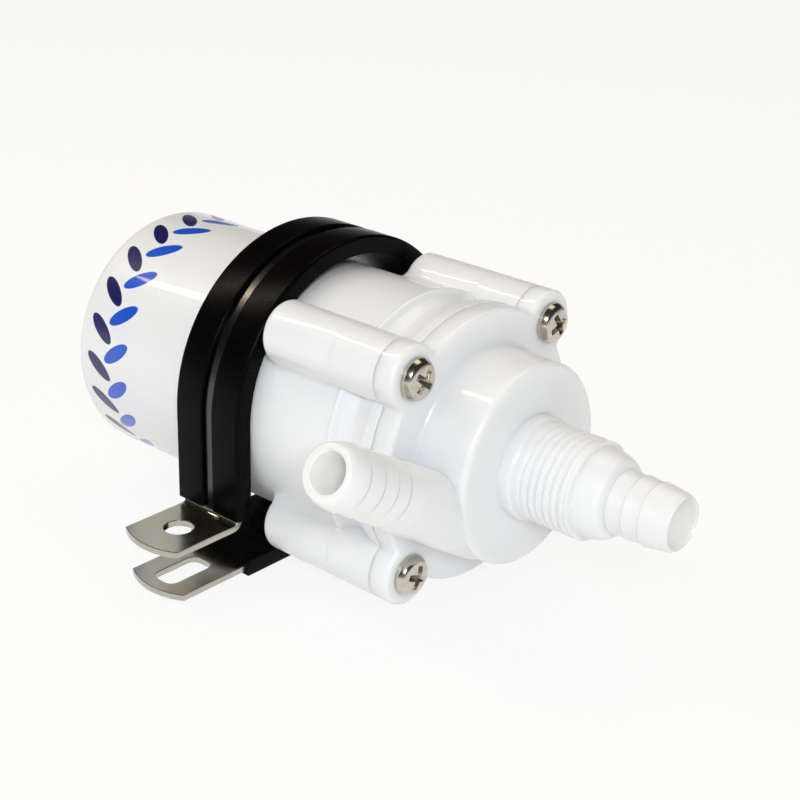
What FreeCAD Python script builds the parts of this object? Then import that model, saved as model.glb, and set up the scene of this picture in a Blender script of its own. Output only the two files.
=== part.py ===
import FreeCAD, Part
import math
import os
import Sketcher
from FreeCAD import Placement, Rotation, Vector

# Inline water pump with a rubber-lined P-clip.
# Frame: X runs along the pump axis and out of the inlet, Z is up, and the origin is on
# the axis in the front face of the pump chamber. Lengths are in millimetres.

doc = FreeCAD.newDocument("inline_pump")
sheet = doc.addObject("Spreadsheet::Sheet", "Sizes")


class Size:
    """A length or angle: its number, and the sheet formula that gives it."""

    def __init__(self, value, formula):
        self.value = float(value)
        self.formula = formula

    def __add__(self, other):
        other = size_of(other)
        return Size(self.value + other.value, f"({self.formula} + {other.formula})")

    def __sub__(self, other):
        other = size_of(other)
        return Size(self.value - other.value, f"({self.formula} - {other.formula})")

    def __mul__(self, other):
        other = size_of(other)
        return Size(self.value * other.value, f"({self.formula} * {other.formula})")

    def __truediv__(self, other):
        other = size_of(other)
        return Size(self.value / other.value, f"({self.formula} / {other.formula})")

    def __neg__(self):
        return Size(-self.value, f"(0 - {self.formula})")

    __radd__ = __add__

    def __rsub__(self, other):
        return size_of(other) - self

    __rmul__ = __mul__


def size_of(number):
    if isinstance(number, Size):
        return number
    return Size(number, f"{number:g}" if number >= 0 else f"(0 - {-number:g})")


def sine(angle):
    return Size(math.sin(math.radians(angle.value)), f"sin({angle.formula})")


def cosine(angle):
    return Size(math.cos(math.radians(angle.value)), f"cos({angle.formula})")


def root(size):
    return Size(math.sqrt(size.value), f"sqrt({size.formula})")


# Driving sizes. Lengths are in millimetres and angles in degrees.
# Stack along the axis, from the front face of the chamber to the rear.
chamber_depth = 13.25
flange_depth = 4.9
body_depth = 12.1
body_floor = 3.0
hub_shoulder = 4.0
boss_reach = 19.5

# Motor housing.
housing_radius = 28.9
housing_wall = 2.4
rear_wall = 3.0
wiring_room = 13.5
rear_rounding = 2.8
inner_rounding = 1.2
rib_width = 2.0
rib_count = 6
web_count = 8

# Screw bosses and screws, on the corners of a square.
boss_radius = 7.0
boss_inset = 7.0
boss_rounding = 0.9
screw_radius = 1.9
screw_length = 30.0
screw_clearance = 0.3
screw_bite = 0.05
screw_head_radius = 4.5
screw_head_height = 2.6

# Pump head.
flange_overhang = 1.0
lip_overhang = 1.2
lip_width = 1.7
waist_depth = 2.4
rim_width = 1.5
chamber_step = 7.0
chamber_wall = 3.3
chamber_front_wall = 2.6
chamber_rounding = 0.7
chamber_foot = 1.4
plug_depth = 3.0
plug_clearance = 0.15

# Inlet spigot: collar, pipe thread G 1/2 at its crest, rounded shoulder, hose tail.
collar_radius = 11.1
collar_length = 2.6
thread_radius = 10.4775
thread_end = 17.7
shoulder_radius = 9.3
shoulder_end = 22.9
shoulder_rounding = 2.9
inlet_length = 37.0
inlet_bore = 5.14
tail_ridge = 6.75
tail_valley = 6.25
tail_tip = 5.95
tail_mouth_rounding = 0.8
ridge_pitch = 3.75
ridge_rise = 0.65
first_ridge = 23.6

# Side outlet: its axis lies square to the pump axis and tangent inside the chamber wall.
outlet_plane = 6.65
throat_inset = 3.3
outlet_angle = 148.5
outlet_reach = 53.8
outlet_bore = 4.1
outlet_throat = 3.9
throat_end = 18.0
outlet_tip = 6.0
outlet_ridge = 6.75
outlet_valley = 6.35
outlet_pitch = 4.35
outlet_first_ridge = 35.8
neck_radius = 6.95
neck_root_radius = 7.6

# Shaft, seal and impeller.
shaft_radius = 2.5
running_fit = 0.04
fixed_fit = 0.02
shaft_flat = 0.5
seal_radius = 8.0
seal_depth = 6.0
seal_wall = 1.2
seal_lip = 0.8
spring_section = 0.5
retainer_thickness = 0.8
retainer_hole = 3.6
impeller_room = 1.6
impeller_hub = 4.6
hub_nose = 1.2
plate_thickness = 1.6
blade_height = 8.6
hub_height = 7.0
blade_thickness = 1.5
blade_arc = 10.0
blade_inset = 5.0
blade_root_angle = 18.0
blade_tip_angle = 92.0
impeller_gap = 0.8
blade_count = 6

# Motor.
can_room = 3.5
can_wall = 1.5
bearing_radius = 5.0
bearing_length = 5.0
nose_radius = 6.6
nose_length = 3.6
magnet_thickness = 3.4
magnet_length = 36.0
magnet_angle = 128.0
spring_plate = 0.8
air_gap = 0.5
core_setback = 10.0
core_length = 34.0
core_hub = 6.5
tooth_width = 3.0
shoe_depth = 1.8
shoe_angle = 43.0
winding_overhang = 4.0
winding_gap = 0.1
commutator_gap = 1.0
coil_foot = 1.5
coil_head = 4.4
commutator_radius = 7.0
commutator_length = 9.0
slit_width = 0.5
brush_width = 4.0
brush_length = 7.0
guide_wall = 1.2
spring_leaf = 0.4
end_cap_depth = 5.0
cap_plug = 1.5
terminal_length = 8.0
shaft_recess = 1.0
stop_height = 4.0
terminal_width = 6.3
terminal_thickness = 0.8
terminal_offset = 12.0
washer_radius = 4.2
washer_thickness = 1.0
washer_room = 2.0
end_float = 0.3
pole_count = 7

# Seal rings and the cable gland.
ring_section = 1.0
face_ring_inset = 5.9
spigot_length = 5.0
spigot_wall = 2.8
spigot_fit = 0.1
gland_hole = 4.5
gland_flange = 6.6
gland_bore = 2.6
gland_lip = 1.8

# P-clip. The ring is a little wider than the housing and hangs off its centre.
clip_centre_y = 2.0
clip_centre_z = 0.5
clip_station = 61.9
clip_play = 2.35
liner_backing = 1.7
liner_lip = 0.95
liner_edge = 1.2
liner_slack = 0.05
band_width = 16.8
band_thickness = 1.5
groove_width = 3.0
bend_radius = 1.0
upper_tab_height = 21.6
upper_tab_reach = 51.8
lower_tab_reach = 50.4
tab_crown = 2.3
tab_hole = 3.2
tab_hole_reach = 41.8
slot_length = 12.4
slot_reach = 41.0
liner_drop = 20.3
liner_foot = 30.0

# Each length and angle above fills a row of the sheet. From here on its name stands for
# that cell, and the counts stay plain numbers.
lengths = [(name, value) for name, value in globals().items() if isinstance(value, float)]
for row, (alias, value) in enumerate(lengths, 1):
    sheet.set(f"A{row}", alias.replace("_", " "))
    sheet.set(f"B{row}", f"{value:g}")
    sheet.setAlias(f"B{row}", alias)
    globals()[alias] = Size(value, f"Sizes.{alias}")

# Stations along the axis that several pieces share.
flange_face = -chamber_depth
cover_back = flange_face - flange_depth
body_back = cover_back - body_depth
bosses_rear = body_back - boss_reach
housing_inner = housing_radius - housing_wall
lip_radius = housing_radius + lip_overhang
flange_radius = housing_radius + flange_overhang
can_radius = housing_inner - can_room
boss_offset = housing_radius - boss_inset
face_ring_radius = flange_radius - face_ring_inset
chamber_outer_radius = housing_radius - chamber_step
chamber_radius = chamber_outer_radius - chamber_wall
outlet_offset = chamber_radius - throat_inset
impeller_radius = chamber_radius - impeller_room
blade_centre = impeller_radius - blade_inset
plug_face = cover_back + plug_depth
impeller_back = plug_face + impeller_gap
motor_front = body_back
core_front = motor_front - core_setback
core_rear = core_front - core_length
core_middle = (core_front + core_rear) / 2
commutator_front = core_rear - winding_overhang - commutator_gap
commutator_rear = commutator_front - commutator_length
can_rear = commutator_rear - washer_room
motor_rear = can_rear - end_cap_depth
housing_floor = motor_rear - wiring_room
housing_rear = housing_floor - rear_wall
magnet_outer = can_radius - can_wall
core_radius = magnet_outer - magnet_thickness - air_gap
hub_front = impeller_back + hub_height
shaft_front = hub_front - 1.5
shaft_rear = motor_rear + shaft_recess
ring_seat = motor_rear - 2 * ring_section
spigot_ring_radius = housing_inner - ring_section
boss_corners = [(1, 1), (-1, 1), (-1, -1), (1, -1)]
liner_inner = housing_radius + clip_play
band_inner = liner_inner + liner_backing
band_outer = band_inner + band_thickness
liner_outer = band_outer + liner_lip
clip_middle = -clip_station

doc.recompute()


# Making and binding.
def bind(thing, prop, size):
    size = size_of(size)
    setattr(thing, prop, size.value)
    thing.setExpression(prop, size.formula)


def new_body(label):
    body = doc.addObject("PartDesign::Body", label)
    body.Label = label
    body.AllowCompound = True
    return body


def new_sketch(body, name, role, height=0, shift=(0, 0), turn=None):
    """A sketch on one of the body's own planes, raised, shifted and turned in it."""
    sketch = body.newObject("Sketcher::SketchObject", name)
    plane = [p for p in body.Origin.OriginFeatures if p.Role == role][0]
    sketch.AttachmentSupport = [(plane, "")]
    sketch.MapMode = "FlatFace"
    height, across, up = size_of(height), size_of(shift[0]), size_of(shift[1])
    angle = size_of(turn if turn is not None else 0)
    sketch.AttachmentOffset = Placement(
        Vector(across.value, up.value, height.value),
        Rotation(Vector(0, 0, 1), angle.value),
    )
    sketch.setExpression("AttachmentOffset.Base.x", across.formula)
    sketch.setExpression("AttachmentOffset.Base.y", up.formula)
    sketch.setExpression("AttachmentOffset.Base.z", height.formula)
    if turn is not None:
        sketch.setExpression("AttachmentOffset.Rotation.Angle", angle.formula)
    return sketch


def pin_point(sketch, element, end, x, y):
    """Hold one point of a sketch at a place given by two sizes, or by one of them."""
    for kind, size, axis in (("DistanceX", x, -2), ("DistanceY", y, -1)):
        if size is None:
            continue
        size = size_of(size)
        if abs(size.value) < 1e-9:
            sketch.addConstraint(Sketcher.Constraint("PointOnObject", element, end, axis))
            continue
        index = sketch.addConstraint(
            Sketcher.Constraint(kind, -1, 1, element, end, size.value)
        )
        sketch.setExpression(f"Constraints[{index}]", size.formula)


def arc_between(start, end, radius, left):
    """The short arc from start to end, with its centre left or right of the way."""
    middle = (start + end) * 0.5
    way = end - start
    reach = math.sqrt(max(radius * radius - (way.Length / 2) ** 2, 0))
    side = Vector(-way.y, way.x, 0).normalize() * (reach if left else -reach)
    centre = middle + side
    first = math.atan2(start.y - centre.y, start.x - centre.x)
    last = math.atan2(end.y - centre.y, end.x - centre.x)
    if not left:
        first, last = last, first
    return Part.ArcOfCircle(Part.Circle(centre, Vector(0, 0, 1), radius), first, last)


def long_arc(start, end, centre, radius, against):
    """The arc round a centre from start to end, clockwise or against the clock."""
    if against:
        start, end = end, start
    first = math.atan2(end.y - centre.y, end.x - centre.x)
    last = math.atan2(start.y - centre.y, start.x - centre.x)
    if last < first:
        last += 2 * math.pi
    return Part.ArcOfCircle(Part.Circle(centre, Vector(0, 0, 1), radius), first, last)


def draw(sketch, points):
    """A closed outline. A point is (x, y) after a straight run, (x, y, radius, side)
    after an arc whose centre lies to the "left" or "right" of the way to it, or
    (x, y, radius, (cx, cy), way) after an arc that goes round a centre, the way being
    "clockwise" or "against" the clock."""
    count = len(points)
    places = [Vector(size_of(p[0]).value, size_of(p[1]).value, 0) for p in points]
    ends = []
    for i in range(count):
        point = points[(i + 1) % count]
        start, end = places[i], places[(i + 1) % count]
        if len(point) == 2:
            sketch.addGeometry(Part.LineSegment(start, end))
            ends.append((1, 2))
            continue
        radius = size_of(point[2])
        if isinstance(point[3], str):
            left = point[3] == "left"
            sketch.addGeometry(arc_between(start, end, radius.value, left))
        else:
            left = point[4] == "against"
            centre = Vector(size_of(point[3][0]).value, size_of(point[3][1]).value, 0)
            sketch.addGeometry(long_arc(start, end, centre, radius.value, left))
        ends.append((1, 2) if left else (2, 1))
    for i in range(count):
        following = (i + 1) % count
        sketch.addConstraint(
            Sketcher.Constraint("Coincident", i, ends[i][1], following, ends[following][0])
        )
    for i in range(count):
        pin_point(sketch, i, ends[i][0], points[i][0], points[i][1])
        point = points[(i + 1) % count]
        if len(point) == 4:
            radius = size_of(point[2])
            index = sketch.addConstraint(Sketcher.Constraint("Radius", i, radius.value))
            sketch.setExpression(f"Constraints[{index}]", radius.formula)
        elif len(point) == 5:
            chord = places[(i + 1) % count] - places[i]
            level = abs(chord.x) > abs(chord.y)
            across, up = point[3]
            pin_point(sketch, i, 3, None if level else across, up if level else None)


def draw_circles(sketch, centres, radius):
    radius = size_of(radius)
    for x, y in centres:
        place = Vector(size_of(x).value, size_of(y).value, 0)
        element = sketch.addGeometry(Part.Circle(place, Vector(0, 0, 1), radius.value))
        pin_point(sketch, element, 3, x, y)
        index = sketch.addConstraint(Sketcher.Constraint("Radius", element, radius.value))
        sketch.setExpression(f"Constraints[{index}]", radius.formula)


def turned(body, name, points, cut=False, plane="XY_Plane", **place):
    """A solid of revolution, or a groove, about the sketch's own X axis."""
    sketch = new_sketch(body, name + "_profile", plane, **place)
    draw(sketch, points)
    kind = "PartDesign::Groove" if cut else "PartDesign::Revolution"
    feature = body.newObject(kind, name)
    feature.Profile = sketch
    feature.ReferenceAxis = (sketch, ["H_Axis"])
    feature.Angle = 360
    doc.recompute()
    return feature


def pad(body, name, sketch, length):
    feature = body.newObject("PartDesign::Pad", name)
    feature.Profile = sketch
    bind(feature, "Length", length)
    doc.recompute()
    return feature


def pocket(body, name, sketch, length, towards_normal=False):
    """Cut a sketch into the body, against its normal unless told otherwise."""
    before = body.Shape.Volume
    feature = body.newObject("PartDesign::Pocket", name)
    feature.Profile = sketch
    bind(feature, "Length", length)
    feature.Reversed = towards_normal
    doc.recompute()
    if body.Shape.Volume > before - 1e-6:
        raise RuntimeError(f"{name} in {body.Label} cut nothing")
    return feature


def polar(body, name, features, count):
    pattern = body.newObject("PartDesign::PolarPattern", name)
    pattern.Originals = features
    axis = [a for a in body.Origin.OriginFeatures if a.Role == "X_Axis"][0]
    pattern.Axis = (axis, [""])
    pattern.Angle = 360
    pattern.Occurrences = count
    body.Tip = pattern
    doc.recompute()
    return pattern


def mirrored(body, name, feature, role):
    mirror = body.newObject("PartDesign::Mirrored", name)
    mirror.Originals = [feature]
    plane = [p for p in body.Origin.OriginFeatures if p.Role == role][0]
    mirror.MirrorPlane = (plane, [""])
    body.Tip = mirror
    doc.recompute()
    return mirror


def circle_edges(body, x, radius, off_axis=False):
    """Names of the circular edges square to X at a station, of one radius."""
    x, radius = size_of(x).value, size_of(radius).value
    names = []
    for i, edge in enumerate(body.Shape.Edges):
        curve = edge.Curve
        if not isinstance(curve, Part.Circle) or abs(abs(curve.Axis.x) - 1) > 1e-6:
            continue
        on_axis = math.hypot(curve.Center.y, curve.Center.z) < 1e-6
        if on_axis == off_axis:
            continue
        if abs(curve.Center.x - x) < 1e-6 and abs(curve.Radius - radius) < 1e-6:
            names.append(f"Edge{i + 1}")
    if not names:
        raise RuntimeError(f"no circular edge at {x} of radius {radius} in {body.Label}")
    return names


def rounded(body, name, edges, radius):
    feature = body.newObject("PartDesign::Fillet", name)
    feature.Base = (feature.BaseFeature, edges)
    bind(feature, "Radius", radius)
    doc.recompute()
    return feature


def boss_centres():
    return [(y * boss_offset, z * boss_offset) for y, z in boss_corners]


# Motor housing: a white cup, closed at the rear, with four screw bosses at its mouth.
def make_motor_housing():
    body = new_body("motor_housing")
    turned(body, "cup", [
        (body_back, 0),
        (body_back, housing_radius),
        (housing_rear, housing_radius),
        (housing_rear, 0),
    ])
    rounded(body, "rear_round", circle_edges(body, housing_rear, housing_radius),
            rear_rounding)
    sketch = new_sketch(body, "boss_circles", "YZ_Plane", height=bosses_rear)
    draw_circles(sketch, boss_centres(), boss_radius)
    pad(body, "screw_bosses", sketch, boss_reach)
    rounded(body, "boss_ends", circle_edges(body, bosses_rear, boss_radius, True),
            boss_rounding)
    sketch = new_sketch(body, "cavity_circle", "YZ_Plane", height=body_back)
    draw_circles(sketch, [(0, 0)], housing_inner)
    pocket(body, "cavity", sketch, body_back - housing_floor)
    rounded(body, "cavity_round",
            circle_edges(body, housing_floor, housing_inner), inner_rounding)
    sketch = new_sketch(body, "pilot_circles", "YZ_Plane", height=body_back)
    draw_circles(sketch, boss_centres(), screw_radius + screw_bite)
    pocket(body, "pilot_holes", sketch, screw_length - flange_depth - body_depth + 1)
    sketch = new_sketch(body, "gland_circle", "YZ_Plane", height=housing_rear)
    draw_circles(sketch, [(0, 0)], gland_hole)
    pocket(body, "gland_opening", sketch, rear_wall, towards_normal=True)
    half = rib_width / 2
    sketch = new_sketch(body, "rib_outline", "YZ_Plane", height=housing_floor)
    draw(sketch, [
        (-half, can_radius + spigot_fit),
        (half, can_radius + spigot_fit),
        (half, housing_inner + housing_wall / 2),
        (-half, housing_inner + housing_wall / 2),
    ])
    rib = pad(body, "long_rib", sketch, body_back - spigot_length - 1 - housing_floor)
    polar(body, "long_ribs", [rib], rib_count)
    sketch = new_sketch(body, "stop_outline", "YZ_Plane", height=housing_floor)
    draw(sketch, [
        (-half, can_radius - stop_height),
        (half, can_radius - stop_height),
        (half, can_radius + 1),
        (-half, can_radius + 1),
    ])
    stop = pad(body, "motor_stop", sketch, ring_seat - housing_floor)
    polar(body, "motor_stops", [stop], rib_count)
    return body


# Volute body: the middle moulding, between the motor housing and the cover.
def make_volute_body():
    body = new_body("volute_body")
    waist_front = cover_back - rim_width
    waist_rear = body_back + lip_width
    span = waist_front - waist_rear
    waist_arc = (span * span / 4 + waist_depth * waist_depth) / (2 * waist_depth)
    spigot_radius = housing_inner - spigot_fit
    rear_floor = cover_back - body_floor
    hub_radius = can_radius - hub_shoulder
    web_radius = spigot_radius - spigot_wall
    turned(body, "shell", [
        (body_back - spigot_length, web_radius),
        (body_back - spigot_length, spigot_radius),
        (body_back, spigot_radius),
        (body_back, lip_radius),
        (waist_rear, lip_radius),
        (waist_front, lip_radius, waist_arc, "left"),
        (cover_back, lip_radius),
        (cover_back, chamber_radius - plug_clearance),
        (plug_face, chamber_radius - plug_clearance),
        (plug_face, seal_radius),
        (plug_face - seal_depth, seal_radius),
        (plug_face - seal_depth, shaft_radius + 0.5),
        (motor_front + nose_length, shaft_radius + 0.5),
        (motor_front + nose_length, nose_radius + plug_clearance),
        (motor_front, nose_radius + plug_clearance),
        (motor_front, hub_radius),
        (rear_floor, hub_radius),
        (rear_floor, web_radius),
    ])
    sketch = new_sketch(body, "boss_circles", "YZ_Plane", height=body_back)
    draw_circles(sketch, boss_centres(), boss_radius)
    pad(body, "screw_bosses", sketch, body_depth)
    sketch = new_sketch(body, "hole_circles", "YZ_Plane", height=body_back)
    draw_circles(sketch, boss_centres(), screw_radius + screw_clearance)
    pocket(body, "screw_holes", sketch, body_depth, towards_normal=True)
    half = rib_width / 2
    sketch = new_sketch(body, "web_outline", "YZ_Plane", height=motor_front)
    draw(sketch, [
        (-half, hub_radius - 1),
        (half, hub_radius - 1),
        (half, web_radius + 0.8),
        (-half, web_radius + 0.8),
    ])
    web = pad(body, "web", sketch, rear_floor - motor_front)
    polar(body, "webs", [web], web_count)
    groove_radius = housing_inner - 2 * ring_section
    groove_mid = body_back - spigot_length / 2
    turned(body, "ring_groove", [
        (groove_mid - ring_section * 1.2, groove_radius),
        (groove_mid + ring_section * 1.2, groove_radius),
        (groove_mid + ring_section * 1.2, housing_radius - 0.5),
        (groove_mid - ring_section * 1.2, housing_radius - 0.5),
    ], cut=True)
    return body


# Front cover: flange, pump chamber, threaded inlet spigot and side outlet in one.
def tooth_run(first, pitch, valley, ridge, count):
    """Outline points of hose-tail teeth, each steep on the side towards the pump."""
    points = []
    for i in range(count):
        top = first + pitch * i
        points.append((top - ridge_rise, valley))
        points.append((top, ridge))
    return points


def make_front_cover():
    body = new_body("front_cover")
    turned(body, "flange", [
        (cover_back, 0),
        (cover_back, flange_radius),
        (flange_face, flange_radius),
        (flange_face, 0),
    ])
    sketch = new_sketch(body, "boss_circles", "YZ_Plane", height=cover_back)
    draw_circles(sketch, boss_centres(), boss_radius)
    pad(body, "screw_bosses", sketch, flange_depth)
    front_edges = []
    for i, edge in enumerate(body.Shape.Edges):
        box = edge.BoundBox
        if abs(box.XMin - flange_face.value) < 1e-6 and box.XLength < 1e-6:
            front_edges.append(f"Edge{i + 1}")
    rounded(body, "flange_round", front_edges, boss_rounding)
    turned(body, "chamber_boss", [
        (cover_back, 0),
        (cover_back, chamber_outer_radius),
        (0, chamber_outer_radius),
        (0, 0),
    ])
    rounded(body, "chamber_edge", circle_edges(body, 0, chamber_outer_radius),
            chamber_rounding)
    foot_edges = circle_edges(body, flange_face, chamber_outer_radius)
    rounded(body, "chamber_foot_round", foot_edges, chamber_foot)
    inlet_spigot(body)
    outlet_pipe(body)
    hollow_cover(body)
    return body


def inlet_spigot(body):
    shoulder_start = shoulder_end - shoulder_rounding
    teeth = tooth_run(first_ridge, ridge_pitch, tail_valley, tail_ridge, 3)
    tip_start = inlet_length - tail_mouth_rounding
    turned(body, "inlet_spigot", [
        (flange_face, 0),
        (flange_face, collar_radius),
        (collar_length, collar_radius),
        (collar_length, thread_radius),
        (thread_end, thread_radius),
        (thread_end, shoulder_radius),
        (shoulder_start, shoulder_radius),
        (shoulder_end, shoulder_radius - shoulder_rounding, shoulder_rounding, "right"),
    ] + teeth + [
        (tip_start, tail_tip),
        (inlet_length, tail_tip - tail_mouth_rounding, tail_mouth_rounding, "right"),
        (inlet_length, 0),
    ])


def outlet_place():
    """The outlet sketch lies square to the pump axis, with X along the outlet."""
    across = -outlet_offset * sine(outlet_angle)
    up = outlet_offset * cosine(outlet_angle)
    return {"height": -outlet_plane, "shift": (across, up), "turn": outlet_angle}


def outlet_pipe(body):
    teeth = tooth_run(outlet_first_ridge, outlet_pitch, outlet_valley, outlet_ridge, 4)
    tip_start = outlet_reach - tail_mouth_rounding
    turned(body, "outlet_pipe", [
        (0, 0),
        (0, neck_root_radius),
        (outlet_first_ridge / 3, neck_root_radius),
        (outlet_first_ridge - ridge_rise * 2, neck_radius),
    ] + teeth + [
        (tip_start, outlet_tip),
        (outlet_reach, outlet_tip - tail_mouth_rounding, tail_mouth_rounding, "right"),
        (outlet_reach, 0),
    ], plane="YZ_Plane", **outlet_place())


def hollow_cover(body):
    turned(body, "chamber", [
        (cover_back, 0),
        (cover_back, chamber_radius),
        (-chamber_front_wall, chamber_radius),
        (-chamber_front_wall, 0),
    ], cut=True)
    turned(body, "inlet_bore", [
        (-chamber_front_wall, 0),
        (-chamber_front_wall, inlet_bore),
        (inlet_length, inlet_bore),
        (inlet_length, 0),
    ], cut=True)
    turned(body, "outlet_bore", [
        (0, 0),
        (0, outlet_throat),
        (throat_end, outlet_throat),
        (throat_end, outlet_bore),
        (outlet_reach, outlet_bore),
        (outlet_reach, 0),
    ], cut=True, plane="YZ_Plane", **outlet_place())
    sketch = new_sketch(body, "hole_circles", "YZ_Plane", height=cover_back)
    draw_circles(sketch, boss_centres(), screw_radius + screw_clearance)
    pocket(body, "screw_holes", sketch, flange_depth, towards_normal=True)
    half = ring_section * 1.2
    turned(body, "ring_groove", [
        (cover_back, face_ring_radius - half),
        (cover_back, face_ring_radius + half),
        (cover_back + ring_section * 2, face_ring_radius + half),
        (cover_back + ring_section * 2, face_ring_radius - half),
    ], cut=True)


# Cover screws: long pan heads with a cross recess, four alike.
def make_cover_screws():
    body = new_body("cover_screws")
    crown = screw_head_height * 0.72
    brim = screw_head_height - crown
    dome = (screw_head_radius * screw_head_radius + crown * crown) / (2 * crown)
    screw = turned(body, "screw", [
        (flange_face - screw_length, 0),
        (flange_face - screw_length + screw_radius, screw_radius),
        (flange_face, screw_radius),
        (flange_face, screw_head_radius),
        (flange_face + brim, screw_head_radius),
        (flange_face + screw_head_height, 0, dome, "right"),
    ], shift=(0, boss_offset), height=boss_offset)
    polar(body, "screws", [screw], len(boss_corners))
    return body


# Seal rings: one in the cover's groove, one in the spigot's, one behind the motor.
def make_ring(label, station, ring_radius, section):
    """A round cord ring, drawn with eight sides, between two touching radii."""
    body = new_body(label)
    flat = section * math.tan(math.radians(22.5))
    turned(body, "cord", [
        (station - section, ring_radius - flat),
        (station - section, ring_radius + flat),
        (station - flat, ring_radius + section),
        (station + flat, ring_radius + section),
        (station + section, ring_radius + flat),
        (station + section, ring_radius - flat),
        (station + flat, ring_radius - section),
        (station - flat, ring_radius - section),
    ])
    return body


# Impeller: hub, back plate and backward-curved blades.
def make_impeller():
    body = new_body("impeller")
    bore = shaft_radius + fixed_fit
    plate_front = impeller_back + plate_thickness
    nose = hub_nose
    turned(body, "hub_and_plate", [
        (impeller_back, 0),
        (impeller_back, impeller_radius),
        (plate_front, impeller_radius),
        (plate_front, impeller_hub),
        (hub_front - nose, impeller_hub),
        (hub_front, impeller_hub - nose, nose, "right"),
        (hub_front, 0),
    ])
    inner, outer = blade_arc, blade_arc + blade_thickness

    def on_blade(radius, angle):
        return (blade_centre - radius * cosine(angle), radius * sine(angle))

    sketch = new_sketch(body, "blade_outline", "YZ_Plane", height=plate_front)
    draw(sketch, [
        on_blade(inner, blade_root_angle),
        on_blade(inner, blade_tip_angle) + (inner, "right"),
        on_blade(outer, blade_tip_angle),
        on_blade(outer, blade_root_angle) + (outer, "left"),
    ])
    blade = pad(body, "blade", sketch, blade_height)
    polar(body, "blades", [blade], blade_count)
    flat = bore - shaft_flat
    half = root(bore * bore - flat * flat)
    sketch = new_sketch(body, "bore_outline", "YZ_Plane", height=shaft_front)
    draw(sketch, [
        (-half, flat, bore, (0, 0), "clockwise"),
        (half, flat),
    ])
    pocket(body, "shaft_bore", sketch, shaft_front - impeller_back)
    return body


# Motor shaft: ground steel, with a flat for the impeller.
def make_motor_shaft():
    body = new_body("motor_shaft")
    bevel = shaft_flat
    turned(body, "rod", [
        (shaft_rear, 0),
        (shaft_rear, shaft_radius - bevel),
        (shaft_rear + bevel, shaft_radius),
        (shaft_front - bevel, shaft_radius),
        (shaft_front, shaft_radius - bevel),
        (shaft_front, 0),
    ])
    sketch = new_sketch(body, "flat_outline", "YZ_Plane", height=shaft_front)
    draw(sketch, [
        (-shaft_radius, shaft_radius - shaft_flat),
        (shaft_radius, shaft_radius - shaft_flat),
        (shaft_radius, shaft_radius + shaft_flat),
        (-shaft_radius, shaft_radius + shaft_flat),
    ])
    pocket(body, "flat", sketch, shaft_front - impeller_back)
    return body


# Shaft seal: a rubber lip seal in the wall behind the impeller. A garter spring lies
# round its lip, and a plate keeps it in.
def make_shaft_seal():
    body = new_body("shaft_seal")
    rear = plug_face - seal_depth
    front = plug_face - retainer_thickness
    lip = shaft_radius + running_fit
    seat = lip + seal_lip
    turned(body, "seal", [
        (rear, seat),
        (rear, seal_radius),
        (front, seal_radius),
        (front, seal_radius - seal_wall),
        (rear + seal_wall, seal_radius - seal_wall),
        (rear + seal_wall, seat + seal_lip / 2),
        (front - 4 * spring_section, seat),
        (front - spring_section, seat),
        (front - spring_section, lip),
        (front - 3 * spring_section, lip),
    ])
    return body


def make_tube(label, rear, front, outer, inner):
    """A plain turned ring, bush or washer between two stations."""
    body = new_body(label)
    turned(body, "wall", [(rear, inner), (rear, outer), (front, outer), (front, inner)])
    return body


# Motor can: drawn steel cup with a bearing nose at the front.
def make_motor_can():
    body = new_body("motor_can")
    nose_front = motor_front + nose_length
    inner = can_radius - can_wall
    turned(body, "cup", [
        (nose_front, bearing_radius),
        (nose_front, nose_radius),
        (motor_front, nose_radius),
        (motor_front, can_radius - can_wall),
        (motor_front - can_wall, can_radius, can_wall, "right"),
        (can_rear, can_radius),
        (can_rear, inner),
        (motor_front - can_wall, inner),
        (motor_front - can_wall, bearing_radius),
    ])
    return body


# Field magnets: two curved blocks glued in the can.
def make_field_magnets():
    body = new_body("field_magnets")
    half = magnet_angle / 2
    inner = magnet_outer - magnet_thickness

    def corner(radius, angle):
        return (radius * sine(angle), radius * cosine(angle))

    sketch = new_sketch(body, "magnet_outline", "YZ_Plane",
                        height=core_middle - magnet_length / 2)
    left, right = -half, half
    draw(sketch, [
        corner(magnet_outer, left),
        corner(magnet_outer, right) + (magnet_outer, (0, 0), "clockwise"),
        corner(inner, right),
        corner(inner, left) + (inner, (0, 0), "against"),
    ])
    magnet = pad(body, "magnet", sketch, magnet_length)
    mirrored(body, "pair", magnet, "XY_Plane")
    return body


# Armature core: stacked steel, with one tooth for each coil.
def make_armature_core():
    body = new_body("armature_core")
    turned(body, "hub", [
        (core_rear, shaft_radius + fixed_fit),
        (core_rear, core_hub),
        (core_front, core_hub),
        (core_front, shaft_radius + fixed_fit),
    ])
    half = tooth_width / 2
    edge = shoe_angle / 2
    shoe_inner = core_radius - shoe_depth
    sketch = new_sketch(body, "tooth_outline", "YZ_Plane", height=core_rear)
    draw(sketch, [
        (half, core_hub - 1),
        (half, shoe_inner - 0.6),
        (shoe_inner * sine(edge), shoe_inner * cosine(edge)),
        (core_radius * sine(edge), core_radius * cosine(edge)),
        (-core_radius * sine(edge), core_radius * cosine(edge), core_radius,
         (0, 0), "against"),
        (-shoe_inner * sine(edge), shoe_inner * cosine(edge)),
        (-half, shoe_inner - 0.6),
        (-half, core_hub - 1),
    ])
    tooth = pad(body, "tooth", sketch, core_length)
    polar(body, "teeth", [tooth], pole_count)
    return body


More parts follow.
